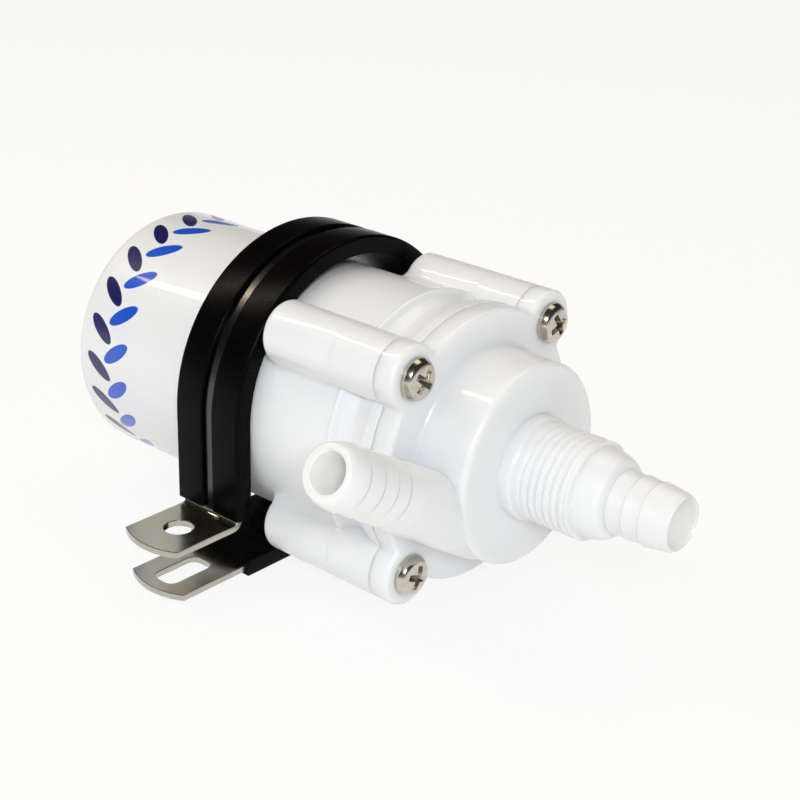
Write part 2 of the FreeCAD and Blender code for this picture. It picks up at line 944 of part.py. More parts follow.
# Armature windings: one coil round each tooth, its turns drawn as one solid ring.
def make_armature_windings():
    body = new_body("armature_windings")
    foot, head = core_hub + 3 * winding_gap, core_radius - shoe_depth - 2
    stem = tooth_width / 2 + winding_gap
    sketch = new_sketch(body, "coil_outline", "YZ_Plane",
                        height=core_rear - winding_overhang)
    draw(sketch, [
        (-stem - coil_foot, foot),
        (stem + coil_foot, foot),
        (stem + coil_head, head),
        (-stem - coil_head, head),
    ])
    coil = pad(body, "coil", sketch, core_length + 2 * winding_overhang)
    sketch = new_sketch(body, "stem_outline", "YZ_Plane", height=core_front + winding_gap)
    draw(sketch, [
        (-stem, foot - 1),
        (stem, foot - 1),
        (stem, head + 1),
        (-stem, head + 1),
    ])
    opening = pocket(body, "stem_space", sketch, core_length + 2 * winding_gap)
    polar(body, "coils", [coil, opening], pole_count)
    return body


# Commutator: a copper ring on the shaft, slit into one segment for each coil.
def make_commutator():
    body = new_body("commutator")
    turned(body, "ring", [
        (commutator_rear, shaft_radius + fixed_fit),
        (commutator_rear, commutator_radius),
        (commutator_front, commutator_radius),
        (commutator_front, shaft_radius + fixed_fit),
    ])
    half = slit_width / 2
    sketch = new_sketch(body, "slit_outline", "YZ_Plane", height=commutator_front)
    draw(sketch, [
        (-half, commutator_radius - 2 * slit_width),
        (half, commutator_radius - 2 * slit_width),
        (half, commutator_radius + slit_width),
        (-half, commutator_radius + slit_width),
    ])
    slit = pocket(body, "slit", sketch, commutator_length)
    polar(body, "slits", [slit], pole_count)
    return body


# Carbon brushes: two blocks, hollowed to the commutator.
def make_carbon_brushes():
    body = new_body("carbon_brushes")
    middle = commutator_rear + commutator_length / 2
    half = brush_width / 2
    sketch = new_sketch(body, "brush_outline", "YZ_Plane", height=middle - half)
    face = commutator_radius + running_fit
    corner = root(face * face - half * half)
    draw(sketch, [
        (-half, corner),
        (half, corner, face, (0, 0), "clockwise"),
        (half, commutator_radius + brush_length),
        (-half, commutator_radius + brush_length),
    ])
    brush = pad(body, "brush", sketch, brush_width)
    mirrored(body, "pair", brush, "XY_Plane")
    return body


# Brush springs: two flat springs that bear on the backs of the brushes.
def make_brush_springs():
    body = new_body("brush_springs")
    middle = commutator_rear + commutator_length / 2
    back = commutator_radius + brush_length
    half = brush_width / 2
    sketch = new_sketch(body, "spring_side", "XZ_Plane", height=-half)
    rear = can_rear + cap_plug
    draw(sketch, [
        (rear, back + 2),
        (rear, back + 2 + spring_leaf),
        (middle - half, back + 2 + spring_leaf),
        (middle, back + spring_leaf),
        (middle + half, back + spring_leaf),
        (middle + half, back),
        (middle, back),
        (middle - half, back + 2),
    ])
    leaf = pad(body, "leaf", sketch, brush_width)
    mirrored(body, "pair", leaf, "XY_Plane")
    return body


# Motor end cap: moulded disc that closes the can, with guides for the brushes.
def make_motor_end_cap():
    body = new_body("motor_end_cap")
    plug_radius = can_radius - can_wall - winding_gap / 4
    inner_face = can_rear + cap_plug
    turned(body, "disc", [
        (inner_face, bearing_radius),
        (inner_face, plug_radius),
        (can_rear, plug_radius),
        (can_rear, can_radius),
        (motor_rear, can_radius),
        (motor_rear, bearing_radius),
    ])
    side = brush_width / 2 + winding_gap / 2
    low = commutator_radius + 1
    high = commutator_radius + brush_length
    guide_end = commutator_rear + commutator_length / 2 + brush_width / 2
    sketch = new_sketch(body, "guide_outline", "YZ_Plane", height=inner_face)
    draw(sketch, [
        (side, low),
        (side + guide_wall, low),
        (side + guide_wall, high),
        (side, high),
    ])
    guide = pad(body, "guide", sketch, guide_end - inner_face)
    sketch = new_sketch(body, "other_guide_outline", "YZ_Plane", height=inner_face)
    draw(sketch, [
        (-side - guide_wall, low),
        (-side, low),
        (-side, high),
        (-side - guide_wall, high),
    ])
    other = pad(body, "other_guide", sketch, guide_end - inner_face)
    polar(body, "guides", [guide, other], 2)
    return body


# Motor terminals: two tinned blades at the rear of the end cap.
def make_motor_terminals():
    body = new_body("motor_terminals")
    sketch = new_sketch(body, "blade_outline", "YZ_Plane",
                        height=motor_rear - terminal_length)
    draw(sketch, [
        (terminal_offset, -terminal_width / 2),
        (terminal_offset + terminal_thickness, -terminal_width / 2),
        (terminal_offset + terminal_thickness, terminal_width / 2),
        (terminal_offset, terminal_width / 2),
    ])
    blade = pad(body, "blade", sketch, terminal_length)
    mirrored(body, "pair", blade, "XZ_Plane")
    return body


# Cable gland: a rubber grommet that grips the rear wall from both sides.
def make_cable_grommet():
    body = new_body("cable_grommet")
    inner_face = housing_rear + rear_wall
    taper = gland_lip / 3
    turned(body, "grommet", [
        (housing_rear - gland_lip, gland_bore),
        (housing_rear - gland_lip, gland_flange - taper),
        (housing_rear, gland_flange),
        (housing_rear, gland_hole),
        (inner_face, gland_hole),
        (inner_face, gland_flange),
        (inner_face + gland_lip, gland_flange - taper),
        (inner_face + gland_lip, gland_bore),
    ])
    return body


# Clip band: one steel strip, bent round the housing, with a tab at each end.
def round_tab_end(body, name, reach, top, crown):
    """Cut a tab's square end to a shallow arc, seen from above."""
    half = band_width / 2
    arc = (half * half + crown * crown) / (2 * crown)
    shoulder = crown - reach
    outer = -reach - crown
    sketch = new_sketch(body, name + "_outline", "XY_Plane", height=top + 1)
    draw(sketch, [
        (clip_middle - half, shoulder),
        (clip_middle + half, shoulder, arc, "left"),
        (clip_middle + half + 1, shoulder),
        (clip_middle + half + 1, outer),
        (clip_middle - half - 1, outer),
        (clip_middle - half - 1, shoulder),
    ])
    pocket(body, name, sketch, band_thickness + 2)


def make_clip_band():
    body = new_body("clip_band")
    tab = -upper_tab_height
    bend_y = clip_centre_y - band_outer - bend_radius
    bend_z = tab + bend_radius
    centre = (clip_centre_y, clip_centre_z)
    sketch = new_sketch(body, "strip_side", "YZ_Plane",
                        height=clip_middle - band_width / 2)
    draw(sketch, [
        (-upper_tab_reach, tab),
        (bend_y, tab),
        (clip_centre_y - band_outer, bend_z, bend_radius, "left"),
        (clip_centre_y - band_outer, clip_centre_z),
        (clip_centre_y, clip_centre_z - band_outer, band_outer, centre, "clockwise"),
        (-lower_tab_reach, clip_centre_z - band_outer),
        (-lower_tab_reach, clip_centre_z - band_inner),
        (clip_centre_y, clip_centre_z - band_inner),
        (clip_centre_y - band_inner, clip_centre_z, band_inner, centre, "against"),
        (clip_centre_y - band_inner, bend_z),
        (bend_y, tab - band_thickness, bend_radius + band_thickness, "right"),
        (-upper_tab_reach, tab - band_thickness),
    ])
    pad(body, "strip", sketch, band_width)
    lower_top = clip_centre_z - band_inner
    round_tab_end(body, "upper_tab_end", upper_tab_reach, tab, tab_crown)
    round_tab_end(body, "lower_tab_end", lower_tab_reach, lower_top, tab_crown)
    sketch = new_sketch(body, "hole_circle", "XY_Plane", height=tab)
    draw_circles(sketch, [(clip_middle, -tab_hole_reach)], tab_hole)
    pocket(body, "tab_hole", sketch, band_thickness)
    straight = slot_length / 2 - tab_hole
    near, far = straight - slot_reach, -slot_reach - straight
    left, right = clip_middle - tab_hole, clip_middle + tab_hole
    sketch = new_sketch(body, "slot_outline", "XY_Plane", height=lower_top)
    draw(sketch, [
        (left, far, tab_hole, (clip_middle, far), "clockwise"),
        (left, near),
        (right, near, tab_hole, (clip_middle, near), "clockwise"),
        (right, far),
    ])
    pocket(body, "tab_slot", sketch, band_thickness)
    return body


# Clip liner: rubber channel that wraps the band, open in the middle of its outer face.
def strap_outline(sketch, outer, inner, spare):
    """Both straps and the ring between two radii, run past the liner's ends."""
    centre = (clip_centre_y, clip_centre_z)
    drop, foot = -liner_drop - spare, -liner_foot - spare
    draw(sketch, [
        (clip_centre_y - outer, drop),
        (clip_centre_y - outer, clip_centre_z),
        (clip_centre_y, clip_centre_z - outer, outer, centre, "clockwise"),
        (foot, clip_centre_z - outer),
        (foot, clip_centre_z - inner),
        (clip_centre_y, clip_centre_z - inner),
        (clip_centre_y - inner, clip_centre_z, inner, centre, "against"),
        (clip_centre_y - inner, drop),
    ])


def make_clip_liner():
    body = new_body("clip_liner")
    channel = band_width + 2 * liner_slack
    width = channel + 2 * liner_edge
    sketch = new_sketch(body, "liner_side", "YZ_Plane", height=clip_middle - width / 2)
    strap_outline(sketch, liner_outer, liner_inner, 0)
    pad(body, "liner", sketch, width)
    sketch = new_sketch(body, "channel_side", "YZ_Plane", height=clip_middle + channel / 2)
    strap_outline(sketch, band_outer + liner_slack, band_inner - liner_slack, 1)
    pocket(body, "band_channel", sketch, channel)
    sketch = new_sketch(body, "groove_side", "YZ_Plane",
                        height=clip_middle + groove_width / 2)
    strap_outline(sketch, liner_outer + 1, band_outer, 1)
    pocket(body, "middle_groove", sketch, groove_width)
    return body


# Thrust washers: one at each end of the armature, fixed on the shaft.
def make_thrust_washers():
    body = new_body("thrust_washers")
    bore = shaft_radius + fixed_fit
    front_stop = motor_front + nose_length - bearing_length - end_float
    rear_stop = motor_rear + bearing_length + end_float
    for name, rear in (("front", front_stop - washer_thickness), ("rear", rear_stop)):
        turned(body, name + "_washer", [
            (rear, bore),
            (rear, washer_radius),
            (rear + washer_thickness, washer_radius),
            (rear + washer_thickness, bore),
        ])
    return body


# Magnet springs: two bent steel leaves that push the magnets apart.
def make_magnet_springs():
    body = new_body("magnet_springs")
    half = 90 - magnet_angle / 2
    inner = magnet_outer - spring_plate

    def corner(radius, angle):
        return (radius * cosine(angle), radius * sine(angle))

    sketch = new_sketch(body, "spring_outline", "YZ_Plane",
                        height=core_middle - magnet_length / 2)
    draw(sketch, [
        corner(magnet_outer, half),
        corner(magnet_outer, -half) + (magnet_outer, (0, 0), "clockwise"),
        corner(inner, -half),
        corner(inner, half) + (inner, (0, 0), "against"),
    ])
    leaf = pad(body, "leaf", sketch, magnet_length)
    mirrored(body, "pair", leaf, "XZ_Plane")
    return body


def finish():
    doc.recompute()
    os.makedirs("parts", exist_ok=True)
    for thing in doc.Objects:
        if "Invalid" in thing.State or "Error" in thing.State:
            raise RuntimeError(f"{thing.Label} failed: {thing.State}")
    for piece in pieces:
        shape = piece.Shape
        if shape.isNull() or not shape.isValid():
            raise RuntimeError(f"{piece.Label} has no valid shape")
        shape.exportStep(f"parts/{piece.Label}.step")
        print(piece.Label, len(shape.Solids), round(shape.Volume, 1))


pieces = [
    make_motor_housing(),
    make_volute_body(),
    make_front_cover(),
    make_cover_screws(),
    make_ring("cover_seal_ring", cover_back + ring_section, face_ring_radius,
              ring_section),
    make_ring("housing_seal_ring", body_back - spigot_length / 2, spigot_ring_radius,
              ring_section),
    make_impeller(),
    make_motor_shaft(),
    make_shaft_seal(),
    make_ring("seal_spring", plug_face - retainer_thickness - 2 * spring_section,
              shaft_radius + running_fit + seal_lip + spring_section, spring_section),
    make_tube("seal_retainer", plug_face - retainer_thickness, plug_face, seal_radius,
              retainer_hole),
    make_motor_can(),
    make_tube("front_bearing", motor_front + nose_length - bearing_length,
              motor_front + nose_length, bearing_radius, shaft_radius + running_fit),
    make_tube("rear_bearing", motor_rear, motor_rear + bearing_length, bearing_radius,
              shaft_radius + running_fit),
    make_thrust_washers(),
    make_field_magnets(),
    make_magnet_springs(),
    make_armature_core(),
    make_armature_windings(),
    make_commutator(),
    make_carbon_brushes(),
    make_brush_springs(),
    make_motor_end_cap(),
    make_motor_terminals(),
    make_ring("motor_damping_ring", motor_rear - ring_section, can_radius - 2,
              ring_section),
    make_cable_grommet(),
    make_clip_band(),
    make_clip_liner(),
]
finish()
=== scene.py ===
import math

import bmesh
import bpy
from mathutils import Matrix, Vector


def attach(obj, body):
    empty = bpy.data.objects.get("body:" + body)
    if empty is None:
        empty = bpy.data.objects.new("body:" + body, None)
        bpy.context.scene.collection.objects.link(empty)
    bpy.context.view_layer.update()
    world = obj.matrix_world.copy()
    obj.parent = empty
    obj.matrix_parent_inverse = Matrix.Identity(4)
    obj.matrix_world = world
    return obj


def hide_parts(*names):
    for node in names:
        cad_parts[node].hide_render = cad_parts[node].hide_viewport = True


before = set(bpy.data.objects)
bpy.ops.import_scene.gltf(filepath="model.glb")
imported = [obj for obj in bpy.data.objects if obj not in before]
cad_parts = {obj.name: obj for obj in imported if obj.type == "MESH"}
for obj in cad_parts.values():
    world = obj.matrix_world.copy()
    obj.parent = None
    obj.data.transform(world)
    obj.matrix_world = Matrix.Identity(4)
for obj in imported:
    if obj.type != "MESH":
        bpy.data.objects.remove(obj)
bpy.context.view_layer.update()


# The motor's running gear. A ground steel shaft carries the stacked core with its
# copper coils, the commutator, two thrust washers and, out in front, the impeller.
class Wire:
    """A value or colour in a node tree. Arithmetic on it adds the nodes that do it."""

    def __init__(self, nodes, socket):
        self.nodes = nodes
        self.socket = socket

    def maths(self, operation, *others):
        return self.nodes.node("ShaderNodeMath", {"operation": operation}, self, *others)

    def __add__(self, other):
        return self.maths("ADD", other)

    def __sub__(self, other):
        return self.maths("SUBTRACT", other)

    def __mul__(self, other):
        return self.maths("MULTIPLY", other)

    def __truediv__(self, other):
        return self.maths("DIVIDE", other)

    def __rsub__(self, other):
        return self * -1 + other

    __radd__ = __add__
    __rmul__ = __mul__


class Nodes:
    """The node tree of a material or of the world."""

    def __init__(self, tree):
        self.tree = tree

    def put(self, socket, value):
        if isinstance(value, Wire):
            self.tree.links.new(value.socket, socket)
        else:
            socket.default_value = value

    def node(self, kind, settings=None, *values, out=0, **named):
        """Add a node: its settings, then its sockets in order, then by name."""
        made = self.tree.nodes.new(kind)
        for key, value in (settings or {}).items():
            setattr(made, key, value)
        for socket, value in zip(made.inputs, values):
            self.put(socket, value)
        for key, value in named.items():
            self.put(made.inputs[key.replace("_", " ")], value)
        return Wire(self, made.outputs[out])

    def mix_of(self, amount, first, second):
        """The first colour at 0, the second at 1."""
        first, second = ((*c, 1) if isinstance(c, tuple) else c for c in (first, second))
        return self.node("ShaderNodeMix", {"data_type": "RGBA"}, out="Result",
                         Factor=amount, A=first, B=second)


class Finish(Nodes):
    """One procedural material, round a Principled shader."""

    def __init__(self, name, **fixed):
        self.material = bpy.data.materials.new(name)
        self.material.use_nodes = True
        super().__init__(self.material.node_tree)
        self.shader = self.tree.nodes["Principled BSDF"]
        for key, value in fixed.items():
            self.shader.inputs[key.replace("_", " ")].default_value = value
        self.place = self.node("ShaderNodeTexCoord", out="Object")

    def grain(self, size_mm, detail=2.0, stretch=(1, 1, 1)):
        """Soft noise from 0 to 1, its lumps about size_mm across."""
        place = self.node("ShaderNodeVectorMath", {"operation": "MULTIPLY"}, self.place, stretch)
        return self.node("ShaderNodeTexNoise", None, Vector=place, Scale=1000 / size_mm,
                         Detail=detail, out="Fac")

    def step(self, value, low, high):
        """0 below low, 1 above high, smooth between."""
        return self.node("ShaderNodeMapRange", {"interpolation_type": "SMOOTHSTEP"},
                         value, low, high)

    def feed(self, **wires):
        for key, wire in wires.items():
            self.put(self.shader.inputs[key.replace("_", " ")], wire)

    def bump(self, height, depth_mm, strength=1.0):
        self.feed(Normal=self.node("ShaderNodeBump", None, Strength=strength,
                                   Distance=depth_mm / 1000, Height=height, out="Normal"))
        return self


def metal_finish(name, colour, roughness, streak=(0.15, 1, 1)):
    """Bare metal with fine marks that run along one direction."""
    made = Finish(name, Metallic=1.0)
    marks = made.grain(0.35, 3.0, streak)
    dull = made.grain(6.0, 3.0)
    dark = tuple(c * 0.78 for c in colour)
    made.feed(Base_Color=made.mix_of(dull, dark, colour), Roughness=marks * 0.12 + roughness)
    return made.bump(marks, 0.01, 0.25).material


def plain_finish(name, colour, roughness, size_mm=0.4, depth_mm=0.02):
    """Moulded, sintered or wound stuff with an even grain."""
    made = Finish(name)
    grain = made.grain(size_mm, 3.0)
    dark = tuple(c * 0.8 for c in colour)
    made.feed(Base_Color=made.mix_of(grain, dark, colour), Roughness=grain * 0.15 + roughness)
    return made.bump(grain, depth_mm, 0.3).material


def dress(node, material):
    """Give a solid of the frame its finish."""
    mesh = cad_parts[node].data
    mesh.materials.clear()
    mesh.materials.append(material)


ground_steel = metal_finish("ground_steel", (0.62, 0.62, 0.63), 0.18, (1, 0.1, 0.1))
bronze = plain_finish("sintered_bronze", (0.45, 0.28, 0.11), 0.45)
dress("motor_shaft", ground_steel)
dress("thrust_washers", bronze)
dress("armature_core", metal_finish("core_sheets", (0.23, 0.23, 0.25), 0.4, (6, 0.1, 0.1)))
dress("armature_windings", plain_finish("enamelled_copper", (0.42, 0.13, 0.04), 0.3, 0.3, 0.08))
dress("commutator", metal_finish("turned_copper", (0.72, 0.32, 0.17), 0.25, (1, 0.1, 0.1)))
dress("impeller", plain_finish("impeller_plastic", (0.03, 0.03, 0.035), 0.45))


# The motor's standing parts. A drawn steel can holds two ferrite magnets on springs,
# and a moulded cap closes it with the brush gear, the rear bearing and the terminals.
sheet_steel = metal_finish("drawn_steel", (0.42, 0.43, 0.44), 0.28, (0.2, 1, 1))
dress("motor_can", sheet_steel)
dress("front_bearing", bronze)
dress("rear_bearing", bronze)
dress("field_magnets", plain_finish("ferrite", (0.025, 0.025, 0.028), 0.6, 0.2))
dress("magnet_springs", sheet_steel)
dress("carbon_brushes", plain_finish("brush_carbon", (0.015, 0.015, 0.015), 0.55, 0.2))
dress("brush_springs", ground_steel)
dress("motor_end_cap", plain_finish("cap_plastic", (0.02, 0.02, 0.022), 0.4))
dress("motor_terminals", metal_finish("tinned_brass", (0.62, 0.55, 0.38), 0.3))


# The wet end's seals. Round rubber cords seal the two joints of the housings and damp
# the motor, and a lip seal with a garter spring and a steel plate closes the shaft.
soft_seal = plain_finish("seal_rubber", (0.012, 0.012, 0.012), 0.5)
for name in ("cover_seal_ring", "housing_seal_ring", "motor_damping_ring", "shaft_seal"):
    dress(name, soft_seal)
dress("seal_spring", ground_steel)
dress("seal_retainer", metal_finish("plate_steel", (0.5, 0.5, 0.5), 0.3))


# Motor housing: a white moulded cup, 58 mm across, with a rounded rear edge, a printed
# band near its end, and four screw bosses along the first quarter of its length.
def soften(outline, closed=True):
    """Round the corners of an outline. Its points are (along, out, radius)."""
    made = []
    count = len(outline)
    for i, point in enumerate(outline):
        here = Vector(point[:2])
        radius = point[2] if len(point) > 2 else 0
        if not radius or (not closed and i in (0, count - 1)):
            made.append(here)
            continue
        back = Vector(outline[i - 1][:2]) - here
        on = Vector(outline[(i + 1) % count][:2]) - here
        room = 0.49 * min(back.length, on.length)
        back.normalize()
        on.normalize()
        half = back.angle(on) / 2
        reach = min(radius / math.tan(half), room)
        radius = reach * math.tan(half)
        centre = here + (back + on).normalized() * (radius / math.sin(half))
        start = here + back * reach - centre
        turn = start.angle_signed(here + on * reach - centre)
        steps = max(2, math.ceil(abs(turn) / math.radians(11)))
        for k in range(steps + 1):
            made.append(centre + start @ Matrix.Rotation(turn * k / steps, 2))
    return made


def grid_faces(rows, columns, closed):
    """Quads over a grid whose columns close up, and whose rows do too if asked."""
    faces = []
    for i in range(rows if closed else rows - 1):
        j = (i + 1) % rows
        for k in range(columns):
            m = (k + 1) % columns
            faces.append((i * columns + k, i * columns + m, j * columns + m, j * columns + k))
    return faces


def turned(outline, closed=True, parts=180, wave=None):
    """Turn an outline of (along, radius) about X. A wave may change the radius."""
    points = []
    for x, r in outline:
        for k in range(parts):
            angle = 2 * math.pi * k / parts
            out = r + (wave(x, angle, r) if wave else 0)
            points.append((x, out * math.sin(angle), out * math.cos(angle)))
    faces = grid_faces(len(outline), parts, closed)
    if not closed:
        last = (len(outline) - 1) * parts
        faces.append(tuple(range(parts)))
        faces.append(tuple(last + k for k in range(parts)))
    return points, faces


def stacked(layers):
    """Join outlines of equal count, each [(x, y, z), ...], and close both ends."""
    count = len(layers[0])
    points = [p for layer in layers for p in layer]
    faces = grid_faces(len(layers), count, False)
    faces.append(tuple(range(count)))
    faces.append(tuple((len(layers) - 1) * count + k for k in range(count)))
    return points, faces


def placed(name, data):
    """Put a mesh, a lamp or a camera into the scene."""
    made = bpy.data.objects.new(name, data)
    bpy.context.scene.collection.objects.link(made)
    return made


def raw_object(shape, place=None):
    """A mesh object from points in millimetres, with its faces looking outwards."""
    points, faces = shape
    mesh = bpy.data.meshes.new("raw")
    move = Matrix.Scale(0.001, 4) @ (place or Matrix.Identity(4))
    mesh.from_pydata([move @ Vector(p) for p in points], [], faces)
    work = bmesh.new()
    work.from_mesh(mesh)
    bmesh.ops.recalc_face_normals(work, faces=work.faces)
    work.to_mesh(mesh)
    work.free()
    return placed("raw", mesh)


def carved(base, added=(), cut=(), bevel_mm=0.0):
    """Fuse solids with the base, cut others out of it, and break its sharp edges."""
    for operation, others in (("UNION", added), ("DIFFERENCE", cut)):
        for other in others:
            step = base.modifiers.new(operation, "BOOLEAN")
            step.operation, step.object, step.solver = operation, other, "EXACT"
    if bevel_mm:
        step = base.modifiers.new("edges", "BEVEL")
        step.width, step.segments = bevel_mm / 1000, 2
        step.limit_method, step.angle_limit = "ANGLE", math.radians(40)
    graph = bpy.context.evaluated_depsgraph_get()
    mesh = bpy.data.meshes.new_from_object(base.evaluated_get(graph))
    for old in (base, *added, *cut):
        bpy.data.objects.remove(old)
    return placed("carved", mesh)


def fit_piece(made, name, body, nodes, material, sharp=32):
    """Name a piece, shade it, and put it in the place of the frame's solids."""
    made.name = made.data.name = name
    work = bmesh.new()
    work.from_mesh(made.data)
    bmesh.ops.remove_doubles(work, verts=work.verts, dist=2e-6)
    bmesh.ops.dissolve_degenerate(work, edges=work.edges, dist=2e-6)
    for face in work.faces:
        face.smooth = True
    for edge in work.edges:
        edge.smooth = len(edge.link_faces) == 2 and edge.calc_face_angle() < math.radians(sharp)
    work.to_mesh(made.data)
    work.free()
    made.data.materials.clear()
    made.data.materials.append(material)
    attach(made, body)
    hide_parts(*nodes)


boss_reach, boss_radius, skin = 30.971, 7.0, 28.9


def boss_outline(disc, fillet, depth=0.0):
    """A screw boss on a disc's edge, lying along +Y, with both its fillets. A depth
    moves the outline inwards, which rounds the end of a boss."""
    far, near, boss = disc + fillet + depth, boss_radius + fillet, boss_radius - depth
    cu = (far * far - near * near + boss_reach * boss_reach) / (2 * boss_reach)
    cv = math.sqrt(far * far - cu * cu)
    tip = math.atan2(cv, cu - boss_reach)
    upper = [(boss_reach + boss * math.cos(tip * k / 16), boss * math.sin(tip * k / 16))
             for k in range(17)]
    first = math.atan2(-cv, boss_reach - cu)
    last = math.atan2(-cv, -cu)
    for k in range(1, 9):
        angle = first + (last - first) * k / 8
        upper.append((cu + (fillet + depth) * math.cos(angle),
                      cv + (fillet + depth) * math.sin(angle)))
    return [(u, -v) for u, v in reversed(upper[1:])] + upper


def boss_on_wall(disc, fillet, depth):
    """The outline of a boss alone, closed inside the wall it stands on."""
    made = boss_outline(disc - 0.06, fillet, depth)
    start = math.atan2(made[-1][1], made[-1][0])
    for k in range(9):
        angle = start * (1 - k / 4)
        made.append(((disc - 1.4) * math.cos(angle), (disc - 1.4) * math.sin(angle)))
    return made


def round_steps(radius):
    """Steps (along, inwards) of a rounded edge."""
    if not radius:
        return [(0, 0)]
    return [(radius * (1 - math.sin(a)), radius * (1 - math.cos(a)))
            for a in (math.radians(90 - 15 * k) for k in range(7))]


def rounded_ends(shape, rear, front, rear_round, front_round, turn=0.0):
    """Extrude an outline of (y, z) along X, with a rounded edge at either end."""
    rings = [(rear + along, shape(depth)) for along, depth in round_steps(rear_round)]
    rings += [(front - along, shape(depth))
              for along, depth in reversed(round_steps(front_round))]
    spin = Matrix.Rotation(turn, 2)
    return stacked([[(x, *(spin @ Vector(p))) for p in ring] for x, ring in rings])


def rod(radius, rear, front, y=0.0, z=0.0, parts=48):
    shape = turned([(rear, radius), (front, radius)], closed=False, parts=parts)
    return raw_object(shape, Matrix.Translation((0, y, z)))


corners = [math.radians(45 + 90 * k) for k in range(4)]
boss_places = [(boss_reach * math.cos(a), boss_reach * math.sin(a)) for a in corners]


def box_between(low, high, turn=0.0):
    """A square block, turned about X."""
    points = [(x, y, z) for x in (low[0], high[0]) for y in (low[1], high[1])
              for z in (low[2], high[2])]
    faces = [(0, 1, 3, 2), (4, 6, 7, 5), (0, 4, 5, 1), (2, 3, 7, 6), (0, 2, 6, 4), (1, 5, 7, 3)]
    return raw_object((points, faces), Matrix.Rotation(turn, 4, "X"))


cup = raw_object(turned(soften([
    (-30.25, 26.5, 0.2), (-30.25, skin, 0.08), (-111.75, skin, 2.8), (-111.75, 4.5, 0.3),
    (-108.75, 4.5, 0.3), (-108.75, 26.5, 1.2),
]), parts=216))
bosses = [raw_object(rounded_ends(lambda depth: boss_on_wall(skin, 2.2, depth),
                                  -49.75, -30.25, 1.7, 0.08, a)) for a in corners]
rib_outline = [(-108.9, 19), (-97.25, 19), (-97.25, 23.1), (-36.25, 23.1), (-36.25, 27),
               (-108.9, 27)]
ribs = [raw_object(stacked([[(x, y, z) for x, z in rib_outline] for y in (-1, 1)]),
                   Matrix.Rotation(math.radians(60 * k), 4, "X")) for k in range(6)]
pilots = [rod(1.95, -44.25, -30, y, z) for y, z in boss_places]


def white_plastic(name, gloss, glow_mm, paint=None):
    """White moulded plastic: even, slightly cool, with a few moulded-in specks."""
    made = Finish(name, IOR=1.5, Coat_IOR=1.5, Coat_Roughness=0.03, Subsurface_Weight=0.7,
                  Subsurface_Radius=(1.0, 0.95, 0.87), Subsurface_Scale=glow_mm / 1000)
    cloud = made.grain(14.0, 2.0)
    fine = made.grain(0.9, 3.0)
    colour = made.mix_of(cloud, (0.795, 0.825, 0.86), (0.84, 0.86, 0.885))
    specks = made.node("ShaderNodeTexVoronoi", {"feature": "F1"}, Vector=made.place,
                       Scale=105.0, out="Distance")
    rare = made.step(made.grain(11.0, 0.0), 0.62, 0.66)
    speck = (1 - made.step(specks, 0.018, 0.034)) * rare
    if paint:
        colour = paint(made, colour)
    colour = made.mix_of(speck * 0.75, colour, (0.16, 0.12, 0.10))
    made.feed(Base_Color=colour, Roughness=cloud * 0.08 + fine * 0.06 + gloss,
              Coat_Weight=cloud * 0.2 + 0.35)
    return made.bump(made.grain(3.5, 2.0), 0.02, 0.1).material


def printed_band(made, colour):
    """Two rows of slanted leaves, light blue and navy, that meet like ears of wheat."""
    middle, leaves = -100.5, 20
    spot = made.node("ShaderNodeSeparateXYZ", None, made.place, out="X") * 1000 - middle
    y = made.node("ShaderNodeSeparateXYZ", None, made.place, out="Y")
    z = made.node("ShaderNodeSeparateXYZ", None, made.place, out="Z")
    turn = made.node("ShaderNodeMath", {"operation": "ARCTAN2"}, y, z) / (2 * math.pi)
    pitch = 2 * math.pi * skin / leaves
    on_skin = made.step(y * y + z * z, 27.5e-3 ** 2, 28.2e-3 ** 2)
    for side, shift, ink in ((1, 0.0, (0.0, 0.085, 0.62)), (-1, 0.5, (0.006, 0.004, 0.11))):
        cell = made.node("ShaderNodeMath", {"operation": "FRACT"}, turn * leaves + shift + 8)
        around = (cell - 0.5) * pitch
        along = spot - side * 2.9
        slant = math.radians(36) * side
        long_way = along * math.cos(slant) + around * math.sin(slant)
        short_way = around * math.cos(slant) - along * math.sin(slant)
        round_off = (long_way / 4.6) * (long_way / 4.6) + (short_way / 1.7) * (short_way / 1.7)
        leaf = (1 - made.step(round_off, 0.93, 1.04)) * on_skin
        colour = made.mix_of(leaf, colour, ink)
    return colour


housing_white = white_plastic("housing_white", 0.28, 0.4, printed_band)
fit_piece(carved(cup, bosses + ribs, pilots), "motor_housing_moulding", "pump",
          ["motor_housing"], housing_white)


# Volute body: the middle moulding. A waist is turned in between its rear lip and the
# cover's rim, the screw bosses run across it, and its hub carries motor and seal.
body_profile = soften([
    (-35.25, 23.6, 0.3), (-35.25, 26.4, 0.4), (-30.25, 26.4), (-30.25, 30.1, 0.5),
    (-29.3, 30.1, 0.5), (-28.5, 28.9, 0.8), (-25.4, 27.7, 2.5), (-20.8, 29.9, 2.6),
    (-18.15, 30.1, 0.08), (-18.15, 18.45, 0.2),
    (-15.15, 18.45, 0.3), (-15.15, 8), (-21.15, 8), (-21.15, 3), (-26.65, 3), (-26.65, 6.75),
    (-30.25, 6.75), (-30.25, 19), (-21.15, 19), (-21.15, 23.6),
])
shell = raw_object(turned(body_profile, parts=216))
columns = [rod(boss_radius, -30.25, -18.15, y, z, 96) for y, z in boss_places]
webs = [box_between((-30.25, -1, 18.5), (-21, 1, 24.4), math.radians(45 * k)) for k in range(8)]
groove = raw_object(turned([(-33.95, 24.5), (-31.55, 24.5), (-31.55, 27.5), (-33.95, 27.5)]))
through = [rod(2.2, -31, -18, y, z) for y, z in boss_places]
body_white = white_plastic("body_white", 0.32, 0.5)
fit_piece(carved(shell, columns + webs, [groove] + through), "volute_body_moulding", "pump",
          ["volute_body"], body_white)


